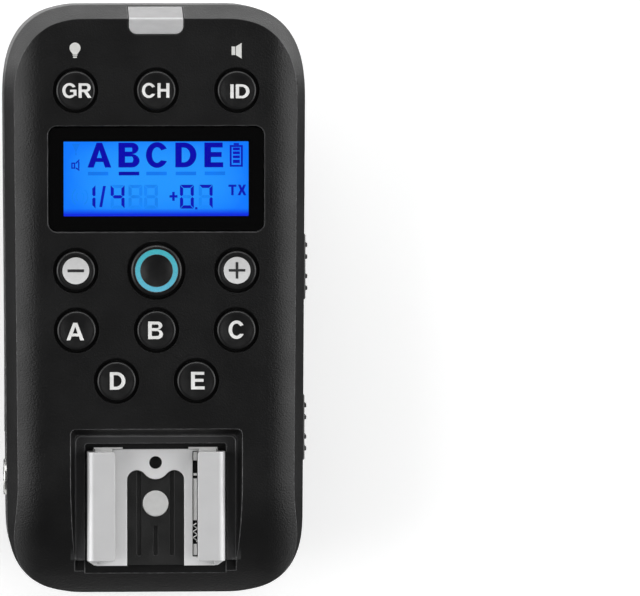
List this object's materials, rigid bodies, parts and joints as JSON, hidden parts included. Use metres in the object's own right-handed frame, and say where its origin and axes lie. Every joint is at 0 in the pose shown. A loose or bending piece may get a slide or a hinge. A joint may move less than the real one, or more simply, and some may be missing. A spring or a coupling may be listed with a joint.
{
  "type": "wireless flash trigger",
  "caption": "Hand-sized radio flash trigger with a display, round keys, a hot shoe on top, side switches, a sync jack and a locking hot-shoe foot underneath.",
  "frame": {"origin": "centre of the foot plate's underside, on the axis of the foot's contact pin", "axes": "+Z out of the control face, +Y from the hot shoe towards the end with the status lens, +X to the right when the control face is read"},
  "size_m": [0.0463, 0.0895, 0.0349],
  "materials": {
    "housing": "fine matte moulded texture",
    "status_lens": "milky translucent, smooth",
    "window": "clear hard-coated acrylic",
    "window_mask": "black screen print",
    "lcd": "blue lit display",
    "key": "satin",
    "test_ring": "translucent blue",
    "membrane": "silicone",
    "component": "moulded",
    "board": "solder mask over glass fibre",
    "tin": "bright tin plate",
    "copper": "enamelled wire",
    "screw": "black oxide",
    "shoe_steel": "satin nickel",
    "insulator": "moulded nylon",
    "contact": "nickel and gold plate",
    "washer": "black anodised",
    "ring": "knurled, satin",
    "cell": "printed sleeve",
    "spring_steel": "nickel plate",
    "knob": "satin"
  },
  "bodies": {
    "housing": {"antenna": "copper", "battery_left": "cell", "battery_right": "cell", "bottom_cover": "housing", "buzzer": "component", "case_screws": "screw", "center_contact": "contact", "chips": "component", "contact_front": "spring_steel", "contact_pin_spring": "contact", "contact_plug": "insulator", "contact_rear": "spring_steel", "contact_springs": "spring_steel", "crystal": "tin", "display_window": "window", "foot_plate": "shoe_steel", "foot_screws": "screw", "foot_stem": "insulator", "jack_ring": "tin", "keypad_membrane": "membrane", "lcd_backlight": "lcd", "lcd_panel": "lcd", "main_pcb": "board", "mode_switch_body": "component", "pcb_screws": "screw", "power_switch_body": "component", "rf_module": "board", "shoe_insulator": "insulator", "shoe_plate": "shoe_steel", "shoe_screws": "screw", "shoe_springs": "shoe_steel", "shutter_switch": "component", "status_led": "tin", "status_lens": "status_lens", "sync_jack": "component", "tact_switches": "component", "top_cover": "housing", "usb_port": "tin", "window_mask": "window_mask", "zebra_strip": "membrane"},
    "test_button_body": {"test_button": "key", "test_button_ring": "test_ring"},
    "power_knob_body": {"power_switch_knob": "knob"},
    "mode_knob_body": {"mode_switch_knob": "knob"},
    "door_body": {"battery_door": "housing"},
    "washer_body": {"lock_washer": "washer"},
    "ring_body": {"lock_ring": "ring"},
    "lock_pin_body": {"lock_pin": "contact"},
    "contact_pin_body": {"contact_pin": "contact"},
    "key_a_body": {"key_a": "key"},
    "key_b_body": {"key_b": "key"},
    "key_c_body": {"key_c": "key"},
    "key_ch_body": {"key_ch": "key"},
    "key_d_body": {"key_d": "key"},
    "key_e_body": {"key_e": "key"},
    "key_gr_body": {"key_gr": "key"},
    "key_id_body": {"key_id": "key"},
    "key_minus_body": {"key_minus": "key"},
    "key_plus_body": {"key_plus": "key"}
  },
  "joints": [
    {"name": "key_a_press", "type": "slide", "parent": "housing", "child": "key_a_body", "axis": [0, 0, -1], "range_m": [0, 0.0004], "stiffness_N_per_m": 1000, "springref_m": -0.001},
    {"name": "key_b_press", "type": "slide", "parent": "housing", "child": "key_b_body", "axis": [0, 0, -1], "range_m": [0, 0.0004], "stiffness_N_per_m": 1000, "springref_m": -0.001},
    {"name": "key_c_press", "type": "slide", "parent": "housing", "child": "key_c_body", "axis": [0, 0, -1], "range_m": [0, 0.0004], "stiffness_N_per_m": 1000, "springref_m": -0.001},
    {"name": "key_ch_press", "type": "slide", "parent": "housing", "child": "key_ch_body", "axis": [0, 0, -1], "range_m": [0, 0.0004], "stiffness_N_per_m": 1000, "springref_m": -0.001},
    {"name": "key_d_press", "type": "slide", "parent": "housing", "child": "key_d_body", "axis": [0, 0, -1], "range_m": [0, 0.0004], "stiffness_N_per_m": 1000, "springref_m": -0.001},
    {"name": "key_e_press", "type": "slide", "parent": "housing", "child": "key_e_body", "axis": [0, 0, -1], "range_m": [0, 0.0004], "stiffness_N_per_m": 1000, "springref_m": -0.001},
    {"name": "key_gr_press", "type": "slide", "parent": "housing", "child": "key_gr_body", "axis": [0, 0, -1], "range_m": [0, 0.0004], "stiffness_N_per_m": 1000, "springref_m": -0.001},
    {"name": "key_id_press", "type": "slide", "parent": "housing", "child": "key_id_body", "axis": [0, 0, -1], "range_m": [0, 0.0004], "stiffness_N_per_m": 1000, "springref_m": -0.001},
    {"name": "key_minus_press", "type": "slide", "parent": "housing", "child": "key_minus_body", "axis": [0, 0, -1], "range_m": [0, 0.0004], "stiffness_N_per_m": 1000, "springref_m": -0.001},
    {"name": "key_plus_press", "type": "slide", "parent": "housing", "child": "key_plus_body", "axis": [0, 0, -1], "range_m": [0, 0.0004], "stiffness_N_per_m": 1000, "springref_m": -0.001},
    {"name": "test_button_press", "type": "slide", "parent": "housing", "child": "test_button_body", "axis": [0, 0, -1], "range_m": [0, 0.0009], "stiffness_N_per_m": 900, "springref_m": -0.001},
    {"name": "power_switch_slide", "type": "slide", "parent": "housing", "child": "power_knob_body", "axis": [0, 1, 0], "range_m": [-0.002, 0.002]},
    {"name": "mode_switch_slide", "type": "slide", "parent": "housing", "child": "mode_knob_body", "axis": [0, 1, 0], "range_m": [-0.002, 0.002]},
    {"name": "door_slide", "type": "slide", "parent": "housing", "child": "door_body", "axis": [0, 1, 0], "range_m": [0, 0.05]},
    {"name": "washer_slide", "type": "slide", "parent": "housing", "child": "washer_body", "axis": [0, 0, -1], "range_m": [0, 0.0012]},
    {"name": "ring_turn", "type": "hinge", "parent": "washer_body", "child": "ring_body", "pos_m": [0, 0, 0.00715], "axis": [0, 0, 1], "range_deg": [0, 270]},
    {"name": "lock_pin_slide", "type": "slide", "parent": "housing", "child": "lock_pin_body", "axis": [0, 0, -1], "range_m": [0, 0.0012]},
    {"name": "contact_pin_press", "type": "slide", "parent": "housing", "child": "contact_pin_body", "axis": [0, 0, 1], "range_m": [0, 0.0006], "stiffness_N_per_m": 200, "springref_m": -0.001}
  ],
  "couplings": [
    {"joint": "ring_turn", "follows": "washer_slide", "rad_per_m": 3927},
    {"joint": "lock_pin_slide", "follows": "washer_slide", "ratio": 1}
  ]
}
